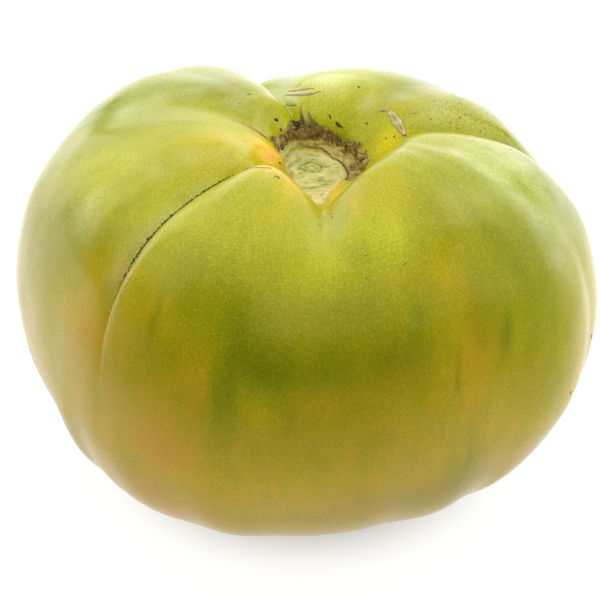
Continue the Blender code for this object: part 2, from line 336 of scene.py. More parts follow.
def turn_between(azimuth, other):
    """The signed angle from other to azimuth, the short way round."""
    return (azimuth - other + 180) % 360 - 180


def valley(across, rounding):
    """The section of a furrow: 1 in its rounded bottom, and less on either side."""
    return np.exp(rounding - np.hypot(across, rounding))


def furrow_depth(azimuth, radius, share):
    """How deep the furrows and their creases lie below the plain body."""
    present = smooth(*FURROW_START, share) * (1 - smooth(*FURROW_END, share))
    reach_round = np.maximum(radius, NARROWEST_RADIUS)
    depth = 0
    for furrow in FURROWS:
        across = np.radians(turn_between(azimuth, furrow.azimuth)) * reach_round
        shoulder = 1 - smooth(SHOULDER_SHARE, furrow.reach, share)
        flank = (1 - shoulder) * (1 - FLANK_LOSS * smooth(*FLANK_FADE, share))
        middle = furrow.depth * shoulder + furrow.flank * flank
        width = furrow.width * np.sqrt(reach_round / WIDTH_RADIUS)
        depth = depth + present * middle * valley(across / width, FURROW_ROUNDING)
        sharp = present * furrow.crease * (1 - smooth(*CREASE_FADE, share))
        depth = depth + sharp * valley(across / CREASE_WIDTH, CREASE_ROUNDING)
    return depth


def surface(fraction, azimuth, lift=0.0):
    """Points on the skin, or lift above it, a fraction of the way from scar to foot and at an azimuth."""
    radius, height, share = outline(fraction)
    upper = height > GIRTH_HEIGHT
    hollow = 1 - smooth(*HOLLOW_ZONE, radius)
    wall = upper * hollow * smooth(*WALL_ZONE, radius)
    crown = upper * (1 - hollow) * (1 - smooth(*CROWN_ZONE, radius))
    shoulder = smooth(*RISE_ZONE, radius) * smooth(GIRTH_HEIGHT, CROWN_HEIGHT, height)
    foot = smooth(*FOOT_ZONE, radius) * (1 - smooth(*FOOT_HEIGHTS, height))
    swell = (ribs_at(azimuth, "girth") / GIRTH_RADIUS - 1) * smooth(*SWELL_ZONE, radius)
    tilted = upper * (1 - smooth(*TILT_ZONE, radius))
    angle = np.radians(azimuth)

    out = radius * (1 + swell) + around(azimuth, FOOT_SWELL) * foot
    out = out + ribs_at(azimuth, "crown") * crown + ribs_at(azimuth, "wall") * wall
    up = height + ribs_at(azimuth, "rise") * shoulder
    up = up + np.tan(np.radians(SCAR_TILT)) * radius * np.sin(angle) * tilted

    # The furrows sink square to a plain dome that has no hollow in it.
    normal_out = radius / GIRTH_RADIUS**2
    normal_up = (height - GIRTH_HEIGHT) / DOME_HEIGHT**2
    sink = (furrow_depth(azimuth, radius, share) - lift) / np.hypot(normal_out, normal_up)
    out = out - sink * normal_out
    up = np.maximum(up - sink * normal_up, 0)
    return np.stack([out * np.cos(angle), out * np.sin(angle), up], axis=-1)


@functools.cache
def noise_table(seed):
    """A cube of random numbers from -1 to 1."""
    return np.random.default_rng(seed).uniform(-1, 1, (NOISE_CELLS,) * 3)


def rough(points, size, seed):
    """Smooth noise from -1 to 1 at points, with lumps of the given size."""
    table = noise_table(seed)
    cell = np.asarray(points) / size
    first = np.floor(cell).astype(int)
    t = cell - first
    t = t * t * (3 - 2 * t)
    total = 0
    for corner in np.ndindex(2, 2, 2):
        weight = np.prod(np.where(corner, t, 1 - t), axis=-1)
        total = total + weight * table[tuple(np.moveaxis((first + corner) % NOISE_CELLS, -1, 0))]
    return total


def rough_along(run, lumps, seed, row=0):
    """Smooth noise along a run from 0 to 1 that has a number of lumps in it, for one row or for several."""
    return rough(np.stack([run * lumps, 0 * run + row, 0 * run], axis=-1), 1.0, seed)


def uneven(points):
    """How far the real skin lies above the smooth form."""
    waves = WAVE_HEIGHT * rough(points, WAVE_SIZE, 1) + RIPPLE_HEIGHT * rough(points, RIPPLE_SIZE, 2)
    out = np.hypot(points[..., 0], points[..., 1])
    ray = points[..., :2] / np.maximum(out, 1e-6)[..., None]
    meridian = np.concatenate([ray, RIDGE_REACH * points[..., 2:]], axis=-1)
    ridges = RIDGE_HEIGHT * rough(meridian, RIDGE_SIZE, 24) * smooth(*RIDGE_ZONE, out)
    return (waves + ridges) * smooth(*LEVEL_HEIGHTS, points[..., 2])


def form(fraction, azimuth):
    """The skin with its unevenness and the dimple under it."""
    points = surface(fraction, azimuth, uneven(surface(fraction, azimuth)))
    radius, _, share = outline(fraction)
    points[..., 2] += (share > 0.5) * DIMPLE_DEPTH * (1 - smooth(0, DIMPLE_RADIUS, radius))
    return points


def crowded_azimuths():
    """The azimuths of the skin's columns, closer together at the creases."""
    even = np.linspace(0, 360, 3601)
    density = np.ones_like(even)
    for furrow in FURROWS:
        if furrow.crease > 0:
            density += CREASE_CROWDING * bell(turn_between(even, furrow.azimuth), 0, CROWDED_DEGREES)
    passed = np.concatenate([[0], np.cumsum((density[1:] + density[:-1]) / 2)])
    return np.interp(np.arange(COLUMNS + 1) / COLUMNS * passed[-1], passed, even)


def skin_grid():
    """The fraction and the azimuth of each point of the skin."""
    return np.meshgrid(np.linspace(0, 1, ROWS + 1), crowded_azimuths(), indexing="ij")


def skin_place():
    """The move that puts the form's own frame in the CAD frame, from their two boxes."""
    points = form(*skin_grid()).reshape(-1, 3)
    low, high = (np.array(corner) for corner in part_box("tomato"))
    size = (high - low) / (points.max(axis=0) - points.min(axis=0))
    return size, low - points.min(axis=0) * size


FIT_SIZE, FIT_MOVE = skin_place()


def share_at(radius):
    """The share of a plain radius on the top of the fruit."""
    top = EVEN_HEIGHTS > GIRTH_HEIGHT
    return np.interp(radius, EVEN_RADII[top], EVEN_SHARES[top])


def on_fruit(share, azimuth):
    """Points of the skin in the CAD frame."""
    return form(np.interp(share, EVEN_SHARES, EVEN_FRACTIONS), azimuth) * FIT_SIZE + FIT_MOVE


def skin_frame(share, azimuth):
    """Points of the skin, what a step of share and of azimuth moves them by, and the way out."""
    down = on_fruit(share + NUDGE_SHARE, azimuth) - on_fruit(share - NUDGE_SHARE, azimuth)
    down = down / (2 * NUDGE_SHARE)
    turn = on_fruit(share, azimuth + NUDGE_DEGREES) - on_fruit(share, azimuth - NUDGE_DEGREES)
    turn = turn / (2 * NUDGE_DEGREES)
    out = np.cross(down, turn)
    length = np.linalg.norm(out, axis=-1, keepdims=True)
    return on_fruit(share, azimuth), down, turn, out / np.maximum(length, 1e-12)


def above_skin(share, azimuth, lift):
    """Points a lift above the skin, square to it."""
    share = np.clip(share, 2 * NUDGE_SHARE, 1 - 2 * NUDGE_SHARE)
    point, _, _, out = skin_frame(share, azimuth)
    return point + out * np.asarray(lift)[..., None]


def value_at(table, places, period=None):
    """A value read from a table that pairs places with values, over and over where it has a period."""
    return np.interp(places, *np.array(table, float).T, period=period)


def curve(points, count):
    """A smooth path of count places through points."""
    points = np.array(points, float)
    knots = np.arange(len(points))
    slopes = np.gradient(points, axis=0)
    at = np.linspace(0, len(points) - 1, count)
    return np.stack([hermite(knots, column, slope, at) for column, slope in zip(points.T, slopes.T)], axis=1)


def ribbon(path, half_widths, thickness, across=7, shade=0.5):
    """A thin raised strip along azimuths and shares on the skin, whose edges sink into it."""
    azimuth, share = np.array(path).T
    point, down, turn, out = skin_frame(share, azimuth)
    ahead = np.gradient(point, axis=0)
    ahead /= np.linalg.norm(ahead, axis=1, keepdims=True)
    aside = np.cross(out, ahead)
    step = np.stack([turn, down], axis=-1)
    to_step = np.linalg.pinv(step) @ aside[..., None]
    places = np.linspace(-1, 1, across)
    offset = np.broadcast_to(half_widths, share.shape)[:, None] * places
    new_azimuth = azimuth[:, None] + offset * to_step[:, 0]
    new_share = share[:, None] + offset * to_step[:, 1]
    lift = np.broadcast_to(thickness, share.shape)[:, None] * (1 - places**2) - RIBBON_SINK
    return above_skin(new_share, new_azimuth, lift), {"shade": np.broadcast_to(shade, lift.shape)}


def lens(count, bluntness):
    """Widths from 0 at both ends to 1 in the middle. The ends are blunter the nearer bluntness is to 0."""
    return np.sin(np.linspace(0, math.pi, count)) ** bluntness


def dashes(places, thickness, shades, ends=0.5):
    """Small spindles on the skin: azimuth, share, length, width and degrees from straight down."""
    azimuth, share, length, width, heading = np.array(places, float).T[:, :, None, None]
    _, down, turn, _ = skin_frame(share, azimuth)
    down_length = np.linalg.norm(down, axis=-1)
    turn_length = np.linalg.norm(turn, axis=-1)
    run, side = grid(DASH_ROWS, DASH_COLUMNS, (-1, 1), (-1, 1))
    along = run * length / 2
    aside = side * width / 2 * (1 - run**2) ** ends
    angle = np.radians(heading)
    new_share = share + (along * np.cos(angle) - aside * np.sin(angle)) / down_length
    new_azimuth = azimuth + (along * np.sin(angle) + aside * np.cos(angle)) / turn_length
    lift = thickness * (1 - side**2) * (1 - run**2) - DASH_SINK + 0 * length
    points = above_skin(new_share, new_azimuth, lift)
    return [(sheet, {"shade": np.full(run.shape, shade)}) for sheet, shade in zip(points, shades)]


def joined_mesh(name, sheets):
    """One mesh from grids of points, rows by columns, each with named values. Their front faces out."""
    corners, faces, labels = [], [], {}
    for points, values in sheets:
        rows, columns = points.shape[:2]
        index = sum(len(part) for part in corners) + np.arange(rows * columns).reshape(rows, columns)
        quads = np.stack([index[:-1, :-1], index[1:, :-1], index[1:, 1:], index[:-1, 1:]], axis=-1)
        corners.append(points.reshape(-1, 3))
        faces.append(quads.reshape(-1, 4))
        for label, numbers in values.items():
            size = np.shape(numbers)[2:]
            spread = np.broadcast_to(numbers, (rows, columns) + size).reshape((-1,) + size)
            labels.setdefault(label, []).append(spread)
    mesh = bpy.data.meshes.new(name)
    mesh.from_pydata(np.concatenate(corners).tolist(), [], np.concatenate(faces).tolist())
    for label, parts in labels.items():
        numbers = np.concatenate(parts)
        kind, field = ("FLOAT_VECTOR", "vector") if numbers.ndim > 1 else ("FLOAT", "value")
        layer = mesh.attributes.new(label, kind, "POINT")
        layer.data.foreach_set(field, numbers.astype(np.float32).ravel())
    weld = bmesh.new()
    weld.from_mesh(mesh)
    bmesh.ops.remove_doubles(weld, verts=weld.verts, dist=WELD_DISTANCE)
    weld.to_mesh(mesh)
    weld.free()
    mesh.shade_smooth()
    return mesh


def piece_of(name, sheets, material):
    """A piece that rides on the fruit."""
    mesh = joined_mesh(name, sheets)
    mesh.materials.append(material)
    piece = bpy.data.objects.new(name, mesh)
    bpy.context.scene.collection.objects.link(piece)
    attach(piece, "root")
    return piece


def feed(tree, target, value):
    """Give an input a fixed value or the output of another node."""
    if isinstance(value, bpy.types.NodeSocket):
        tree.links.new(value, target)
    else:
        target.default_value = value


def fill(tree, node, **inputs):
    """Feed some of a node's inputs. An underscore in a name stands for a space."""
    for name, value in inputs.items():
        feed(tree, node.inputs[name.replace("_", " ")], value)
    return node


def node_of(tree, kind, **inputs):
    """A new node with some of its inputs fed."""
    return fill(tree, tree.nodes.new(kind), **inputs)


def new_material(name):
    """A new material with its node tree and its shader."""
    made = bpy.data.materials.new(name)
    made.use_nodes = True
    return made, made.node_tree, made.node_tree.nodes["Principled BSDF"]


def attribute(tree, name, output="Fac"):
    """A value that the mesh carries at each of its points."""
    node = tree.nodes.new("ShaderNodeAttribute")
    node.attribute_name = name
    return node.outputs[output]


def own_place(tree):
    """The place in the piece's own frame."""
    return node_of(tree, "ShaderNodeTexCoord").outputs["Object"]


def noise_of(tree, vector, scale, detail, roughness=0.5):
    """Noise of about 0 to 1 over a vector output."""
    settings = {"Scale": scale, "Detail": detail, "Roughness": roughness}
    return node_of(tree, "ShaderNodeTexNoise", Vector=vector, **settings).outputs["Fac"]


def calculated(tree, kind, operation, *values):
    """The output of a number or vector node that works on outputs or fixed values."""
    node = tree.nodes.new(kind)
    node.operation = operation
    for target, value in zip(node.inputs, values):
        feed(tree, target, value)
    return node.outputs["Value" if operation == "LENGTH" else 0]


def plus(tree, first, second):
    return calculated(tree, "ShaderNodeMath", "ADD", first, second)


def times(tree, first, second):
    return calculated(tree, "ShaderNodeMath", "MULTIPLY", first, second)


def range_of(tree, value, start, end, at_start, at_end, kind="LINEAR"):
    """A number that goes from at_start to at_end as a value goes from start to end."""
    node = node_of(tree, "ShaderNodeMapRange", Value=value, From_Min=start, From_Max=end)
    node.interpolation_type = kind
    return fill(tree, node, To_Min=at_start, To_Max=at_end).outputs["Result"]


def ramp_of(tree, value, stops):
    """Colours by a value."""
    node = node_of(tree, "ShaderNodeValToRGB", Fac=value)
    elements = node.color_ramp.elements
    while len(elements) < len(stops):
        elements.new(0.5)
    for element, (place, colour) in zip(elements, stops):
        element.position = place
        element.color = (*colour, 1)
    return node.outputs["Color"]


def tinted(tree, amount, colour, tint):
    """A colour output mixed with a fixed tint by an amount."""
    node = tree.nodes.new("ShaderNodeMix")
    node.data_type = "RGBA"
    for place, value in ((0, amount), (6, colour), (7, (*tint, 1))):
        feed(tree, node.inputs[place], value)
    return node.outputs[2]


def bump_of(tree, height, distance):
    """Fine relief from a height, as a change of the normal."""
    return node_of(tree, "ShaderNodeBump", Height=height, Distance=distance, Strength=1).outputs["Normal"]


def stretched(tree, vector, sizes):
    """A vector output multiplied side by side."""
    return calculated(tree, "ShaderNodeVectorMath", "MULTIPLY", vector, sizes)


# The skin's finish. Each noise shifts the tone by its amount, and each tint follows a value of the mesh.
BROAD_STREAKS = (13, 13, 4)
NARROW_STREAKS = (48, 48, 10)
MOTTLE_SCALE = 140
GRAIN_SCALE = 2600
TONE_SHIFTS = {"broad": 0.28, "narrow": 0.20, "mottle": 0.36, "grain": 0.12}
TONE_MIDDLE = 0.48
TINT_STRENGTH = 1.9
TINTS = [
    ("deep", "narrow", (0.150, 0.225, 0.004)),
    ("pale", "broad", (0.700, 0.665, 0.020)),
    # Painted highlights, as a whitish tint.
    ("painted_highlight", "mottle", (0.780, 0.800, 0.460)),
]
DOT_TINT = (0.640, 0.640, 0.300)
DOT_RANGE = (0.50, 0.80, 0.0, 0.22)
STIPPLE_SPREAD, STIPPLE_LEAST = 0.56, 0.72
SKIN_ROUGHNESS = (0.0, 1.0, 0.15, 0.26)
SKIN_LEVEL = 0.38
SKIN_SHEEN = (1.0, 0.96, 0.55, 1)
SKIN_RELIEF = 0.000022


def skin_material():
    """Tone and streaks, deep and pale places, painted highlights, pale dots, then painted light and shade.
    """
    made, tree, shader = new_material("tomato skin")
    meridian = attribute(tree, "meridian", "Vector")
    noises = {
        "broad": noise_of(tree, stretched(tree, meridian, BROAD_STREAKS), 1.0, detail=2.5),
        "narrow": noise_of(tree, stretched(tree, meridian, NARROW_STREAKS), 1.0, detail=2.0),
        "mottle": noise_of(tree, own_place(tree), MOTTLE_SCALE, detail=4, roughness=0.68),
        "grain": noise_of(tree, own_place(tree), GRAIN_SCALE, detail=1.5, roughness=0.6),
    }
    tone = plus(tree, attribute(tree, "tone"), -TONE_MIDDLE)
    for name, amount in TONE_SHIFTS.items():
        tone = plus(tree, tone, times(tree, noises[name], amount))
    colour = ramp_of(tree, tone, TONE_COLOURS)
    for name, noise, tint in TINTS:
        amount = times(tree, attribute(tree, name), times(tree, noises[noise], TINT_STRENGTH))
        colour = tinted(tree, amount, colour, tint)
    dots = times(tree, range_of(tree, noises["grain"], *DOT_RANGE), attribute(tree, "dots"))
    colour = tinted(tree, dots, colour, DOT_TINT)

    # Painted light and shade: the grain's stipple times the skin's painted lighter and darker places.
    stipple = plus(tree, times(tree, noises["grain"], STIPPLE_SPREAD), STIPPLE_LEAST)
    light = times(tree, stipple, attribute(tree, "light"))
    lit = node_of(tree, "ShaderNodeHueSaturation", Value=light, Color=colour)
    gloss = range_of(tree, noises["mottle"], *SKIN_ROUGHNESS)
    relief = bump_of(tree, noises["grain"], SKIN_RELIEF)
    fill(tree, shader, Base_Color=lit.outputs["Color"], Roughness=gloss, Normal=relief)
    fill(tree, shader, Specular_IOR_Level=SKIN_LEVEL, Specular_Tint=SKIN_SHEEN)
    return made


# The dull finishes: the size of their lumps in metres, how far these shift the shade, the roughness, the
# relief, the specular level, and colours by shade.
CORK_COLOURS = [
    (0.0, (0.045, 0.028, 0.01)), (0.2, (0.13, 0.085, 0.025)), (0.42, (0.29, 0.2, 0.06)),
    (0.66, (0.48, 0.37, 0.12)), (0.84, (0.64, 0.56, 0.18)), (1.0, (0.74, 0.69, 0.23)),
]
Finish = namedtuple("Finish", "lump spread roughness relief level colours")
FINISHES = {
    "stem scar": Finish(0.0009, 0.55, 0.55, 0.0001, 0.3, [
        (0.0, (0.075, 0.065, 0.014)), (0.3, (0.23, 0.225, 0.05)), (0.55, (0.45, 0.45, 0.11)),
        (0.8, (0.68, 0.61, 0.21)), (1.0, (0.86, 0.74, 0.33)),
    ]),
    "torn cork": Finish(0.0005, 0.85, 0.8, 0.00016, 0.15, CORK_COLOURS),
    "cork crumbs": Finish(0.0004, 0.5, 0.85, 0.00012, 0.15, CORK_COLOURS),
    "cork spikes": Finish(0.0006, 0.5, 0.7, 0.00006, 0.2, [
        (0.0, (0.06, 0.045, 0.018)), (0.4, (0.19, 0.15, 0.06)),
        (0.7, (0.4, 0.35, 0.15)), (1.0, (0.6, 0.56, 0.28)),
    ]),
    "zip scar": Finish(0.0005, 0.4, 0.7, 0.00004, 0.2, [
        (0.0, (0.03, 0.024, 0.008)), (0.45, (0.12, 0.095, 0.026)),
        (0.75, (0.3, 0.235, 0.07)), (1.0, (0.46, 0.38, 0.1)),
    ]),
    "cork lines": Finish(0.0006, 0.35, 0.7, 0.00004, 0.2, [
        (0.0, (0.05, 0.04, 0.02)), (0.4, (0.21, 0.165, 0.06)),
        (0.7, (0.46, 0.36, 0.18)), (1.0, (0.62, 0.5, 0.3)),
    ]),
    "scab": Finish(0.0005, 0.45, 0.65, 0.00006, 0.2, [
        (0.0, (0.17, 0.11, 0.035)), (0.3, (0.33, 0.25, 0.07)), (0.55, (0.47, 0.42, 0.11)),
        (0.8, (0.66, 0.54, 0.24)), (1.0, (0.8, 0.66, 0.35)),
    ]),
    "specks": Finish(0.0005, 0.5, 0.6, 0.00003, 0.25, [
        (0.0, (0.03, 0.026, 0.016)), (0.5, (0.085, 0.068, 0.018)), (1.0, (0.2, 0.165, 0.05)),
    ]),
    "flecks": Finish(0.0004, 0.4, 0.6, 0.00002, 0.25, [
        (0.0, (0.085, 0.08, 0.014)), (0.55, (0.21, 0.2, 0.04)), (1.0, (0.52, 0.47, 0.16)),
    ]),
    "blossom scar": Finish(0.0005, 0.5, 0.8, 0.0001, 0.15, [
        (0.0, (0.045, 0.03, 0.014)), (0.5, (0.23, 0.165, 0.07)), (1.0, (0.48, 0.38, 0.19)),
    ]),
}


def dull_material(name):
    """A dull patchy finish: colours by the piece's shade, shifted by noise."""
    finish = FINISHES[name]
    made, tree, shader = new_material(name)
    blotch = noise_of(tree, own_place(tree), 1 / finish.lump, detail=5, roughness=0.65)
    shift = times(tree, plus(tree, blotch, -0.5), finish.spread)
    colour = ramp_of(tree, plus(tree, attribute(tree, "shade"), shift), finish.colours)
    fill(tree, shader, Base_Color=colour, Normal=bump_of(tree, blotch, finish.relief))
    fill(tree, shader, Roughness=finish.roughness, Specular_IOR_Level=finish.level)
    return made


def patches_at(table, azimuth, share):
    """The sum of soft patches at places on the skin."""
    total = 0
    for middle, height, half_turn, half_share, amount in table:
        across = bell(turn_between(azimuth, middle), 0, half_turn)
        total = total + amount / 100 * across * bell(100 * share, height, half_share)
    return total


def make_skin():
    fraction, azimuth = skin_grid()
    points = form(fraction, azimuth) * FIT_SIZE + FIT_MOVE
    share = outline(fraction)[2]
    shifted = azimuth + PATCH_WOBBLE_DEGREES * rough(points, PATCH_WOBBLE_SIZE, 3)
    moved = share + PATCH_WOBBLE_SHARE * rough(points, PATCH_WOBBLE_SIZE, 4)
    values = {
        "tone": value_at(TONE_BY_SHARE, moved) + patches_at(TONE_PATCHES, shifted, moved),
        "deep": patches_at(DEEP_PATCHES, shifted, moved),
        "pale": patches_at(PALE_PATCHES, shifted, moved),
        # Painted highlights: whitish streaks along the lobes' crests and rims.
        "painted_highlight": patches_at(PAINTED_HIGHLIGHT_PATCHES, shifted, moved),
        "dots": value_at(DOTS_BY_SHARE, share),
        # Painted light and shade, darker towards the underside.
        "light": value_at(PAINTED_SHADE_BY_SHARE, moved) + patches_at(PAINTED_LIGHT_PATCHES, shifted, moved),
        "meridian": polar(1, azimuth) + MERIDIAN_LENGTH * share[..., None] * (0, 0, 1),
    }
    skin = piece_of("skin", [(points, values)], skin_material())
    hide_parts("tomato")


# The stem scar: a smooth greenish button with faint fibres and a bruised eye. The eye's ring, the ring
# inside it and the arc outside it each have a radius and a width.
BUTTON_ROWS = 60
BUTTON_COLUMNS = 288
BUTTON_LIFT = 0.00045
EYE_AZIMUTH = 101.0
EYE_OUT = 0.0023
EYE_SQUEEZE = (0.82, 1.25, 1)
EYE_RING = (0.0013, 0.00026)
EYE_INNER = (0.00062, 0.00022)
EYE_ARC = (0.00195, 0.00016)
EYE_PIT_DEPTH, EYE_PIT_WIDTH = 0.00022, 0.0008
FIBRE_HEIGHT, FIBRE_ZONE = 0.00007, (0.0016, 0.0030)
LUMP_HEIGHT, LUMP_SIZE = 0.00010, 0.0015
BUTTON_RIM_DROP = 0.00012
GREEN_AZIMUTH = 335
GREEN_TURN = 60


def eye_marks(flat):
    """A circle round the eye, the distance from its middle, and its ring, inner ring and arc."""
    away = (flat - polar(EYE_OUT, EYE_AZIMUTH)) * EYE_SQUEEZE
    turn = np.arctan2(away[..., 1], away[..., 0])
    circle = polar(1, np.degrees(turn))
    distance = np.linalg.norm(away, axis=-1) * (1 + 0.22 * rough(circle, 0.7, 22))
    strength = 0.75 + 0.5 * rough(circle, 0.5, 23)
    ring = strength * bell(distance, *EYE_RING)
    inner = (0.9 - 0.5 * strength) * bell(distance, *EYE_INNER)
    arc = bell(distance, *EYE_ARC) * smooth(0.2, 0.9, np.sin(turn + 0.5))
    return circle, distance, ring, inner, arc


def make_stem_scar():
    t, azimuth = grid(BUTTON_ROWS, BUTTON_COLUMNS + 1, across=(0, 360))
    radius = t * value_at(BUTTON_EDGE, azimuth, 360) * (1 + 0.02 * rough(polar(1, azimuth), 0.12, 5))
    flat = polar(radius, azimuth)
    circle, distance, ring, inner, arc = eye_marks(flat)
    curl = circle + np.array([0, 0, 0.10 / 0.003]) * distance[..., None]
    fibres = rough(curl, 0.075, 6) * smooth(*FIBRE_ZONE, distance)
    lumps = rough(flat, LUMP_SIZE, 7)
    lift = BUTTON_LIFT * (1 - t**6) + FIBRE_HEIGHT * fibres + LUMP_HEIGHT * (lumps + ring)
    lift = lift - EYE_PIT_DEPTH * bell(distance, 0, EYE_PIT_WIDTH) - BUTTON_RIM_DROP * smooth(0.9, 1.0, t)

    green = bell(turn_between(azimuth, GREEN_AZIMUTH), 0, GREEN_TURN)
    green = green * smooth(0.1, 0.5, t) * smooth(0.95, 0.75, t)
    hatch = np.stack([flat[..., 0] + 0.3 * flat[..., 1], 3.2 * flat[..., 1] - flat[..., 0], 0 * t], axis=-1)
    shreds = smooth(0.25, 0.80, rough(hatch, 0.0011, 25)) * smooth(0.0010, 0.0020, distance)
    arcs = np.sin(distance / 0.00016 + 2.5 * lumps) * smooth(0.0016, 0.0024, distance)
    arcs = arcs * smooth(40, -30, turn_between(azimuth, 0))
    shade = 0.80 + 0.07 * fibres + 0.14 * lumps - 0.50 * ring - 0.40 * inner - 0.26 * arc - 0.18 * green
    shade = shade - 0.24 * shreds - 0.06 * arcs + 0.12 * smooth(0.72, 0.9, t) - 0.50 * smooth(0.95, 1.0, t)
    points = above_skin(share_at(radius), azimuth, lift)
    piece_of("stem_scar", [(points, {"shade": shade})], dull_material("stem scar"))


# The torn cork on the hollow's far wall, with a tuft at its left, crumbs and papery spikes. Its hole is
# painted shade, a dark place on the cork with a middle and a width in azimuth and in share.
CORK_COLUMNS = 260
CORK_ROWS = 46
CORK_PAINTED_HOLE = (105, 4.0)
CORK_PAINTED_HOLE_SHARE = (0.103, 0.018)
CORK_LEVEL = 0.00030
CORK_SINK = 0.00004
TORN_HEIGHT, TORN_SIZE = 0.00024, 0.0011
FINE_HEIGHT, FINE_SIZE = 0.00018, 0.0005
CORK_FIBRE_HEIGHT = 0.00010
TUFT_HEIGHT, TUFT_AZIMUTHS = 0.00030, (118, 151)
CRUMBS, CRUMBS_ON_TUFT = 150, 0.35
CRUMB_AZIMUTHS = (0, 150)
CRUMB_PLACES = (0.35, 1.03)
CRUMB_LIFT = 0.0004
CRUMB_RADII = (0.00007, 0.00024)
CRUMB_SQUASH = (0.6, 1.3)
CRUMB_SHADES = (0.15, 0.75)


def cork_shade(t, azimuth, share, inner, torn, fine):
    """How light the collar is: pale on its inner wall, brown when torn, painted shade for its hole, dark
    edges.
    """
    band = smooth(0.052 + 0.003 * torn, 0.058 + 0.003 * torn, share)
    gold = smooth(46, 22, azimuth) + smooth(112, 128, azimuth)
    # Painted shade of the hole: the collar is coloured darker there.
    painted_hole = bell(azimuth, *CORK_PAINTED_HOLE) * bell(share, *CORK_PAINTED_HOLE_SHARE)
    wall = 0.80 + 0.22 * (smooth(100, 112, azimuth) - smooth(44, 22, azimuth))
    shade = wall * (1 - band) + band * (0.43 + 0.12 * gold) + 0.14 * torn + 0.20 * fine - 0.45 * painted_hole
    return shade - (0.48 + 0.35 * fine) * bell(share, inner + 0.0022, 0.0010) - 0.18 * smooth(0.90, 1.0, t)


def make_cork_collar():
    ends = CORK_INNER[0][0], CORK_INNER[-1][0]
    t, azimuth = grid(CORK_ROWS, CORK_COLUMNS, across=ends)
    circle = polar(1, azimuth)
    inner, outer = value_at(CORK_INNER, azimuth, 360), value_at(CORK_OUTER, azimuth, 360)
    outer = outer + 0.0035 * rough(circle, 0.06, 8) + 0.0025 * rough(circle, 0.025, 9)
    share = inner + t * (outer - inner)
    plain = above_skin(share, azimuth, 0 * t)
    torn = rough(plain, TORN_SIZE, 10)
    fine = rough(plain, FINE_SIZE, 11)
    fibres = rough(circle, 0.018, 21) * smooth(0.045, 0.06, share)
    thick = np.minimum(smooth(0, 0.12, t), smooth(1, 0.90, t))
    thick = thick * smooth(ends[0], ends[0] + 8, azimuth) * smooth(ends[1], ends[1] - 6, azimuth)
    height = CORK_LEVEL + TORN_HEIGHT * torn + FINE_HEIGHT * fine + CORK_FIBRE_HEIGHT * fibres
    height = height + TUFT_HEIGHT * smooth(118, 126, azimuth) * smooth(0.5, 0.8, t)
    points = above_skin(share, azimuth, thick * height - CORK_SINK * (1 - thick))
    shade = cork_shade(t, azimuth, share, inner, torn, fine) + 0.10 * fibres
    piece_of("cork_collar", [(points, {"shade": shade})], dull_material("torn cork"))


def make_cork_crumbs():
    rng = np.random.default_rng(12)
    on_tuft = rng.uniform(0, 1, CRUMBS) < CRUMBS_ON_TUFT
    azimuth = np.where(on_tuft, rng.uniform(*TUFT_AZIMUTHS, CRUMBS), rng.uniform(*CRUMB_AZIMUTHS, CRUMBS))
    inner, outer = value_at(CORK_INNER, azimuth, 360), value_at(CORK_OUTER, azimuth, 360)
    share = inner + (outer - inner) * rng.uniform(*CRUMB_PLACES, CRUMBS)
    radii = rng.uniform(*CRUMB_RADII, CRUMBS)
    centres = above_skin(share, azimuth, np.full(CRUMBS, CRUMB_LIFT))
    up, turn = grid(7, 11, (0, math.pi), (0, 2 * math.pi))
    plain = np.stack([np.sin(up) * np.cos(turn), np.sin(up) * np.sin(turn), np.cos(up)], axis=-1)
    sheets = []
    for number, (centre, radius) in enumerate(zip(centres, radii)):
        ball = plain * (1 + 0.5 * rough(plain + number, 0.7, 13))[..., None] * rng.uniform(*CRUMB_SQUASH, 3)
        sheets.append((centre + radius * ball, {"shade": np.full(up.shape, rng.uniform(*CRUMB_SHADES))}))
    piece_of("cork_crumbs", sheets, dull_material("cork crumbs"))


SPIKES = table(
    "azimuth share tip_azimuth tip_share tip_lift width shade",
    (98.6, 0.083, 97.4, 0.115, 0.0012, 0.00052, 0.45), (95, 0.082, 96.6, 0.1, 0.0008, 0.00045, 0.8),
    (89.5, 0.079, 93.2, 0.102, 0.0012, 0.0006, 0.62), (146, 0.088, 149, 0.098, 0.0005, 0.0004, 0.7),
    (60, 0.066, 58, 0.074, 0.0006, 0.00045, 0.4), (30, 0.08, 28, 0.088, 0.0004, 0.0005, 0.45),
)
SPIKE_BASE_LIFT = 0.0001
SPIKE_BOW = 0.0005


def spike_sheet(spike):
    """One papery spike: a flattened tube that narrows to its tip and bows out."""
    share = np.array([spike.share, spike.tip_share])
    azimuth = np.array([spike.azimuth, spike.tip_azimuth])
    base, tip = above_skin(share, azimuth, (SPIKE_BASE_LIFT, spike.tip_lift))
    out = skin_frame(share, azimuth)[3][1]
    side = np.cross(out, tip - base)
    side /= np.linalg.norm(side)
    t, turn = grid(16, 13, across=(0, 2 * math.pi))
    middle = base + t[..., None] * (tip - base) + SPIKE_BOW * np.sin(math.pi * t)[..., None] * out
    width = spike.width * (1 - t) ** 0.7 * (1 + 0.2 * np.sin(9 * t + spike.azimuth))
    curl = 0.105 * width * np.cos(2 * turn)
    points = middle + (width * np.cos(turn))[..., None] * side
    points = points + (0.14 * spike.width * (1 - t) * np.sin(turn) + curl)[..., None] * out
    return points, {"shade": spike.shade + 0.3 * t - 0.15}


def make_cork_spikes():
    piece_of("cork_spikes", [spike_sheet(spike) for spike in SPIKES], dull_material("cork spikes"))


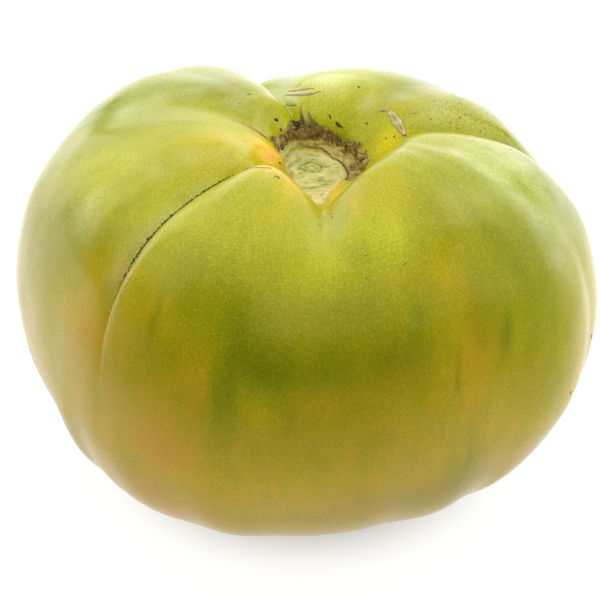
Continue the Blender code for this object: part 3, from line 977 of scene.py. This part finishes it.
# The brown stitched line in the left furrow, its half widths along its run from 0 to 1, and the beads and
# crosswise teeth on it.
ZIP_PATH = [
    (241.5, 0.166), (236, 0.173), (227, 0.178), (220.5, 0.187), (220, 0.214),
    (220.2, 0.242), (220.4, 0.273), (220.5, 0.3), (220.4, 0.325), (220.3, 0.345),
    (220.3, 0.366), (220.4, 0.386), (220.5, 0.404), (220.5, 0.424), (220.6, 0.445),
]
ZIP_WIDTHS = [
    (0, 0.00011), (0.2, 0.00012), (0.35, 0.00017), (0.5, 0.00022),
    (0.64, 0.00016), (0.78, 0.00009), (1, 0.00003),
]
ZIP_WIDEST = 0.00022
ZIP_STEPS = 260
ZIP_THICKNESS = 0.00006
BEADS = 190
BEAD_SPREAD = 0.16
BEAD_THICKNESS = 0.00010
BEAD_SIZES = (0.9, 2.2)
BEAD_SHADES = (0, 0.35)
TEETH = 70
TOOTH_WIDTH, TOOTH_THICKNESS = 0.00011, 0.00005
TOOTH_REACHES = (2.2, 5)
TOOTH_HEADING = (90, 16)
TOOTH_SHADES = (0.2, 0.6)


def make_zip_scar():
    rng = np.random.default_rng(14)
    path = curve(ZIP_PATH, ZIP_STEPS)
    run = np.linspace(0, 1, ZIP_STEPS)
    width = value_at(ZIP_WIDTHS, run)
    broken = rough_along(run, 60, 15)
    shade = 0.50 - 0.40 * width / ZIP_WIDEST + 0.45 * broken + 0.4 * smooth(0.80, 1.0, run)
    width = width * np.clip(0.75 + 0.6 * broken, 0.1, 2)
    sheets = [ribbon(path, width, ZIP_THICKNESS, shade=shade[:, None])]

    def at_random(number):
        at = rng.uniform(0, 0.97, number)
        azimuth, share = path[(at * (ZIP_STEPS - 1)).astype(int)].T
        return azimuth, share, value_at(ZIP_WIDTHS, at)

    azimuth, share, wide = at_random(BEADS)
    size = wide * rng.uniform(*BEAD_SIZES, BEADS)
    azimuth = azimuth + rng.normal(0, BEAD_SPREAD, BEADS)
    beads = np.transpose([azimuth, share, size * 1.5, size, rng.uniform(0, 180, BEADS)])
    sheets += dashes(beads, BEAD_THICKNESS, rng.uniform(*BEAD_SHADES, BEADS))
    azimuth, share, wide = at_random(TEETH)
    reach = wide * rng.uniform(*TOOTH_REACHES, TEETH)
    teeth = np.transpose([azimuth, share, reach, 0 * reach + TOOTH_WIDTH, rng.normal(*TOOTH_HEADING, TEETH)])
    sheets += dashes(teeth, TOOTH_THICKNESS, rng.uniform(*TOOTH_SHADES, TEETH))
    piece_of("zip_scar", sheets, dull_material("zip scar"))


# Pale corky lines, as azimuths and shares with half widths: one in a furrow, and scratches on the far lobe.
Line = namedtuple("Line", "half_width shade end_shade places")
CORK_LINES = [
    Line(0.00042, 0.95, 0.25, [
        (161.5, 0.157), (159.5, 0.141), (157.8, 0.126), (156.3, 0.115), (155, 0.103), (152.8, 0.089),
    ]),
    Line(0.00014, 0.1, 0.1, [(105.6, 0.175), (106.2, 0.157), (107, 0.139), (108, 0.121)]),
    Line(0.00036, 0.7, 0.62, [(103.3, 0.188), (100.8, 0.161), (97.6, 0.138), (91.6, 0.125), (85.5, 0.123)]),
    Line(0.00028, 0.6, 0.52, [(101.9, 0.187), (99, 0.162), (95.5, 0.143), (90, 0.131)]),
    Line(0.0003, 0.55, 0.55, [(105, 0.17), (103.6, 0.152), (102, 0.136)]),
    Line(0.0005, 0.74, 0.74, [(13.4, 0.1455), (14.5, 0.1435), (16, 0.1415)]),
    Line(0.00045, 0.85, 0.85, [(40.5, 0.126), (38.8, 0.129), (36.8, 0.131)]),
    Line(0.0002, 0.3, 0.3, [(39.3, 0.124), (37.5, 0.126), (35.6, 0.1285)]),
]
LINE_STEPS = 60
LINE_THICKNESS = 0.00007
LINE_BLUNTNESS = 0.35
LINE_EDGE_DROP = 0.35


def line_sheet(number, line):
    """One corky line with frayed and darker edges."""
    run = np.linspace(0, 1, LINE_STEPS)
    frayed = 1 + 0.35 * rough_along(run, 14, 17, number)
    width = line.half_width * lens(LINE_STEPS, LINE_BLUNTNESS) * frayed
    points, _ = ribbon(curve(line.places, LINE_STEPS), width, LINE_THICKNESS, across=9)
    side = np.abs(np.linspace(-1, 1, points.shape[1]))
    along = np.linspace(line.shade, line.end_shade, LINE_STEPS)[:, None]
    return points, {"shade": along - LINE_EDGE_DROP * smooth(0.45, 0.95, side)}


def make_cork_lines():
    sheets = [line_sheet(number, line) for number, line in enumerate(CORK_LINES)]
    piece_of("cork_lines", sheets, dull_material("cork lines"))


# The leaf-shaped scab on the right lobe's rim, with a ragged border and two darker cells.
SCAB_PATH = [(34.6, 0.1292), (30.4, 0.1308), (25.8, 0.1322), (20.8, 0.1352), (15.8, 0.1402)]
SCAB_HALF_WIDTH = 0.00112
SCAB_THICKNESS = 0.00014
SCAB_BLUNTNESS = 0.45
SCAB_ROWS = 90
SCAB_COLUMNS = 33


def make_scab():
    along, side = grid(SCAB_ROWS, SCAB_COLUMNS, across=(-1, 1))
    ragged = 0.10 * rough_along(along, 9, 26, side * 3)
    border = bell(np.abs(side) + ragged, 0.86, 0.13) + smooth(0.07, 0.02, along) + smooth(0.94, 0.98, along)
    cells = bell(side, -0.05, 0.42) * bell(along, 0.34, 0.17)
    cells = cells + bell(side, 0.08, 0.36) * bell(along, 0.76, 0.11)
    bridge = bell(along - 0.06 * side, 0.57, 0.035)
    shade = 0.92 + 1.2 * ragged - 0.80 * border - 0.46 * cells + 0.12 * bridge
    width = SCAB_HALF_WIDTH * lens(SCAB_ROWS, SCAB_BLUNTNESS) * (1 + 2 * ragged[:, 0])
    path = curve(SCAB_PATH, SCAB_ROWS)
    scab = ribbon(path, width, SCAB_THICKNESS, across=SCAB_COLUMNS, shade=shade)
    piece_of("scab", [scab], dull_material("scab"))


# Dark specks: azimuth, share, length, width and heading.
SPECKS = [
    (64.6, 0.083, 0.0015, 0.0008, 70), (59.7, 0.0822, 0.0007, 0.0004, 60),
    (75, 0.09, 0.0011, 0.00035, 40), (39.2, 0.106, 0.0007, 0.0004, 80),
    (62.7, 0.137, 0.0008, 0.00045, 70), (124.5, 0.098, 0.0013, 0.0008, 60),
    (123.6, 0.08, 0.0009, 0.0006, 20), (19.5, 0.119, 0.0004, 0.0004, 0),
    (18.1, 0.128, 0.0004, 0.0004, 0), (249, 0.1765, 0.0013, 0.00045, 80),
    (247.5, 0.18, 0.0006, 0.00025, 80), (271.5, 0.198, 0.0005, 0.00035, 0),
    (274.1, 0.188, 0.0004, 0.0003, 0), (277.3, 0.198, 0.00045, 0.0003, 30),
    (271.7, 0.218, 0.00045, 0.0003, 0), (131.2, 0.163, 0.0011, 0.0005, 70),
    (347.8, 0.538, 0.0013, 0.0006, 10), (335.5, 0.573, 0.0012, 0.0005, 0),
    (20, 0.088, 0.0006, 0.0004, 30), (188, 0.08, 0.0007, 0.0005, 30), (96, 0.43, 0.0009, 0.0006, 15),
    (142, 0.56, 0.0008, 0.0005, 0),
]
SPECK_THICKNESS = 0.0001
SPECK_SHADE = 0.35
SPECK_BLUNTNESS = 0.35


def make_specks():
    sheets = dashes(SPECKS, SPECK_THICKNESS, [SPECK_SHADE] * len(SPECKS), ends=SPECK_BLUNTNESS)
    piece_of("dark_specks", sheets, dull_material("specks"))


# Small corky flecks. A cluster has a number, and the middle and spread of its azimuths and of its shares.
FAR_LOBE_FLECKS = (130, 20, 9, 0.218, 0.036)
OTHER_FLECKS = [
    (30, 150, 14, 0.20, 0.05),
    (16, 275.5, 2.6, 0.191, 0.005),
    (9, 273.5, 1.2, 0.206, 0.003),
]
SPARSE_FLECKS = 100
SPARSE_SHARES = (0.13, 0.42)
FLECK_THICKNESS = 0.00005
FLECK_LENGTHS = (0.00030, 0.00095)
FLECK_WIDTHS = (0.00014, 0.00030)
FLECK_HEADING = (70, 25)
FLECK_SHADES = (0.1, 0.9)


def make_flecks():
    rng = np.random.default_rng(18)

    def cluster(number, azimuth, turn, share, spread):
        return np.column_stack([rng.normal(azimuth, turn, number), rng.normal(share, spread, number)])

    places = [cluster(*FAR_LOBE_FLECKS)]
    turns = rng.uniform(0, 360, SPARSE_FLECKS)
    places.append(np.column_stack([turns, rng.uniform(*SPARSE_SHARES, SPARSE_FLECKS)]))
    places += [cluster(*flecks) for flecks in OTHER_FLECKS]
    place = np.concatenate(places)
    number = len(place)
    length, width = rng.uniform(*FLECK_LENGTHS, number), rng.uniform(*FLECK_WIDTHS, number)
    marks = np.column_stack([place, length, width, rng.normal(*FLECK_HEADING, number)])
    sheets = dashes(marks, FLECK_THICKNESS, rng.uniform(*FLECK_SHADES, number))
    piece_of("skin_flecks", sheets, dull_material("flecks"))


# The blossom scar: a small corky star in the dimple under the fruit.
STAR_RADIUS = 0.0024
STAR_LIFT = 0.00025
STAR_SINK = 0.00003


def make_blossom_scar():
    t, azimuth = grid(26, 121, (1, 0), (0, 360))
    angle = np.radians(azimuth)
    circle = polar(1, azimuth)
    points_out = 0.26 * np.cos(5 * angle + 0.6) + 0.14 * np.cos(8 * angle) + 0.12 * rough(circle, 0.2, 19)
    foot = EVEN_HEIGHTS < 0.5 * GIRTH_HEIGHT
    share = np.interp(-t * STAR_RADIUS * (1 + points_out), -EVEN_RADII[foot], EVEN_SHARES[foot])
    lumps = rough(circle * t[..., None], 0.22, 20)
    lift = STAR_LIFT * (1 - t**3) + 0.00012 * lumps * (1 - t) - STAR_SINK
    shade = 0.62 + 0.35 * lumps - 0.5 * smooth(0.7, 1.0, t) - 0.5 * smooth(0.16, 0.04, t)
    sheet = above_skin(share, azimuth, lift), {"shade": shade}
    piece_of("blossom_scar", [sheet], dull_material("blossom scar"))


# The floor's own colour, a painted shadow under the fruit and its two glows. Each range has two places and
# the
# numbers there: the painted shadow and the near glow by metres from the fruit, and the glow behind by the
# sine of the angle round it, so that it opens out like a fan. The far range lets it grow with the distance
# too.
FLOOR_SIZE = 6
FLOOR_ROUGHNESS = 0.9
FLOOR_COLOUR = (0.16, 0.16, 0.16, 1)
FLOOR_PAINTED_SHADOW = (0.018, 0.042, 0.35, 1.0)
FLOOR_NEAR = (0.056, 0.170, 0.92, 0.0)
FLOOR_BEHIND = (-0.45, 0.45, 0.0, 1.20)
FLOOR_FAR = (0.056, 0.150, 0.0, 1.0)


def floor_glow(tree):
    """How bright each place of the floor glows: most near the fruit and behind it, dimmed by a painted
    shadow under it.
    """
    place = tree.nodes.new("ShaderNodeNewGeometry").outputs["Position"]
    back = node_of(tree, "ShaderNodeSeparateXYZ", Vector=place).outputs["Y"]
    away = calculated(tree, "ShaderNodeVectorMath", "LENGTH", place)
    sine = calculated(tree, "ShaderNodeMath", "DIVIDE", back, away)
    # Painted shadow: the near glow is dimmed right under the fruit.
    shade = range_of(tree, away, *FLOOR_PAINTED_SHADOW, kind="SMOOTHSTEP")
    near = range_of(tree, away, *FLOOR_NEAR, kind="SMOOTHSTEP")
    behind = range_of(tree, sine, *FLOOR_BEHIND, kind="SMOOTHSTEP")
    far = range_of(tree, away, *FLOOR_FAR, kind="SMOOTHSTEP")
    return plus(tree, times(tree, near, shade), times(tree, behind, far))


def make_floor():
    bpy.ops.mesh.primitive_plane_add(size=FLOOR_SIZE)
    floor = bpy.context.object
    floor.name = "floor"
    made, tree, shader = new_material("floor")
    fill(tree, shader, Base_Color=FLOOR_COLOUR, Roughness=FLOOR_ROUGHNESS)
    fill(tree, shader, Emission_Color=(1, 1, 1, 1), Emission_Strength=floor_glow(tree))
    floor.data.materials.append(made)


# The lights: place, width and height, even brightness, where 1 renders white, and the point that they face.
AT_FRUIT = (0, 0, 0.05)
LAMPS = table(
    "name place size brightness aim",
    ("overhead", (0.05, 0.42, 0.92), (2, 1.1), 1.45, (0.05, 0.42, 0)),
    ("front_left", (-0.05, -0.38, 0.92), (1.8, 0.5), 0.9, (-0.05, -0.38, 0)),
    ("front_right", (0.36, -1.18, 0.92), (1.15, 1.1), 1.05, (0.36, -1.18, 0)),
    ("low_right", (0.84, -0.56, 0.44), (0.6, 0.34), 0.6, AT_FRUIT),
    ("low_left", (-1, 0, 0.72), (0.8, 0.5), 1.3, AT_FRUIT),
    ("back_left", (-0.62, 0.7, 0.3), (0.6, 0.8), 1.9, AT_FRUIT),
    ("right", (0.88, 0.42, 0.5), (0.8, 1.1), 1.65, AT_FRUIT),
    ("right_front", (0.95, -0.18, 0.36), (0.45, 0.6), 0.8, AT_FRUIT),
    ("back", (0.14, 1.15, 0.45), (1.2, 0.9), 1.5, AT_FRUIT),
)
WORLD_STRENGTH = 0.03


def placed(name, data, place, heading):
    """An object of the scene at a place, turned to look along a heading."""
    made = bpy.data.objects.new(name, data)
    made.location = place
    made.rotation_euler = heading.to_track_quat("-Z", "Y").to_euler()
    bpy.context.scene.collection.objects.link(made)
    return made


def make_lamp(lamp):
    """A flat soft light."""
    light = bpy.data.lights.new(lamp.name, "AREA")
    light.shape = "RECTANGLE"
    light.size, light.size_y = lamp.size
    light.energy = math.pi * light.size * light.size_y * lamp.brightness
    placed(lamp.name, light, lamp.place, Vector(lamp.aim) - Vector(lamp.place))


def light_scene():
    world = bpy.data.worlds.new("studio")
    world.use_nodes = True
    background = world.node_tree.nodes["Background"]
    fill(world.node_tree, background, Color=(1, 1, 1, 1), Strength=WORLD_STRENGTH)
    bpy.context.scene.world = world
    for lamp in LAMPS:
        make_lamp(lamp)
    bpy.context.scene.view_settings.view_transform = "Standard"


def make_camera():
    data = bpy.data.cameras.new("camera")
    data.sensor_width = SENSOR_WIDTH
    data.lens = PIXELS_PER_MM * CAMERA_DISTANCE * 1000 * SENSOR_WIDTH / IMAGE_WIDTH
    elevation = math.radians(CAMERA_ELEVATION)
    back = Vector((0, -math.cos(elevation), math.sin(elevation)))
    place = Vector(CAMERA_TARGET) + CAMERA_DISTANCE * back
    bpy.context.scene.camera = placed("camera", data, place, -back)


make_skin()
make_stem_scar()
make_cork_collar()
make_cork_crumbs()
make_cork_spikes()
make_zip_scar()
make_cork_lines()
make_scab()
make_specks()
make_flecks()
make_blossom_scar()
make_floor()
light_scene()
make_camera()
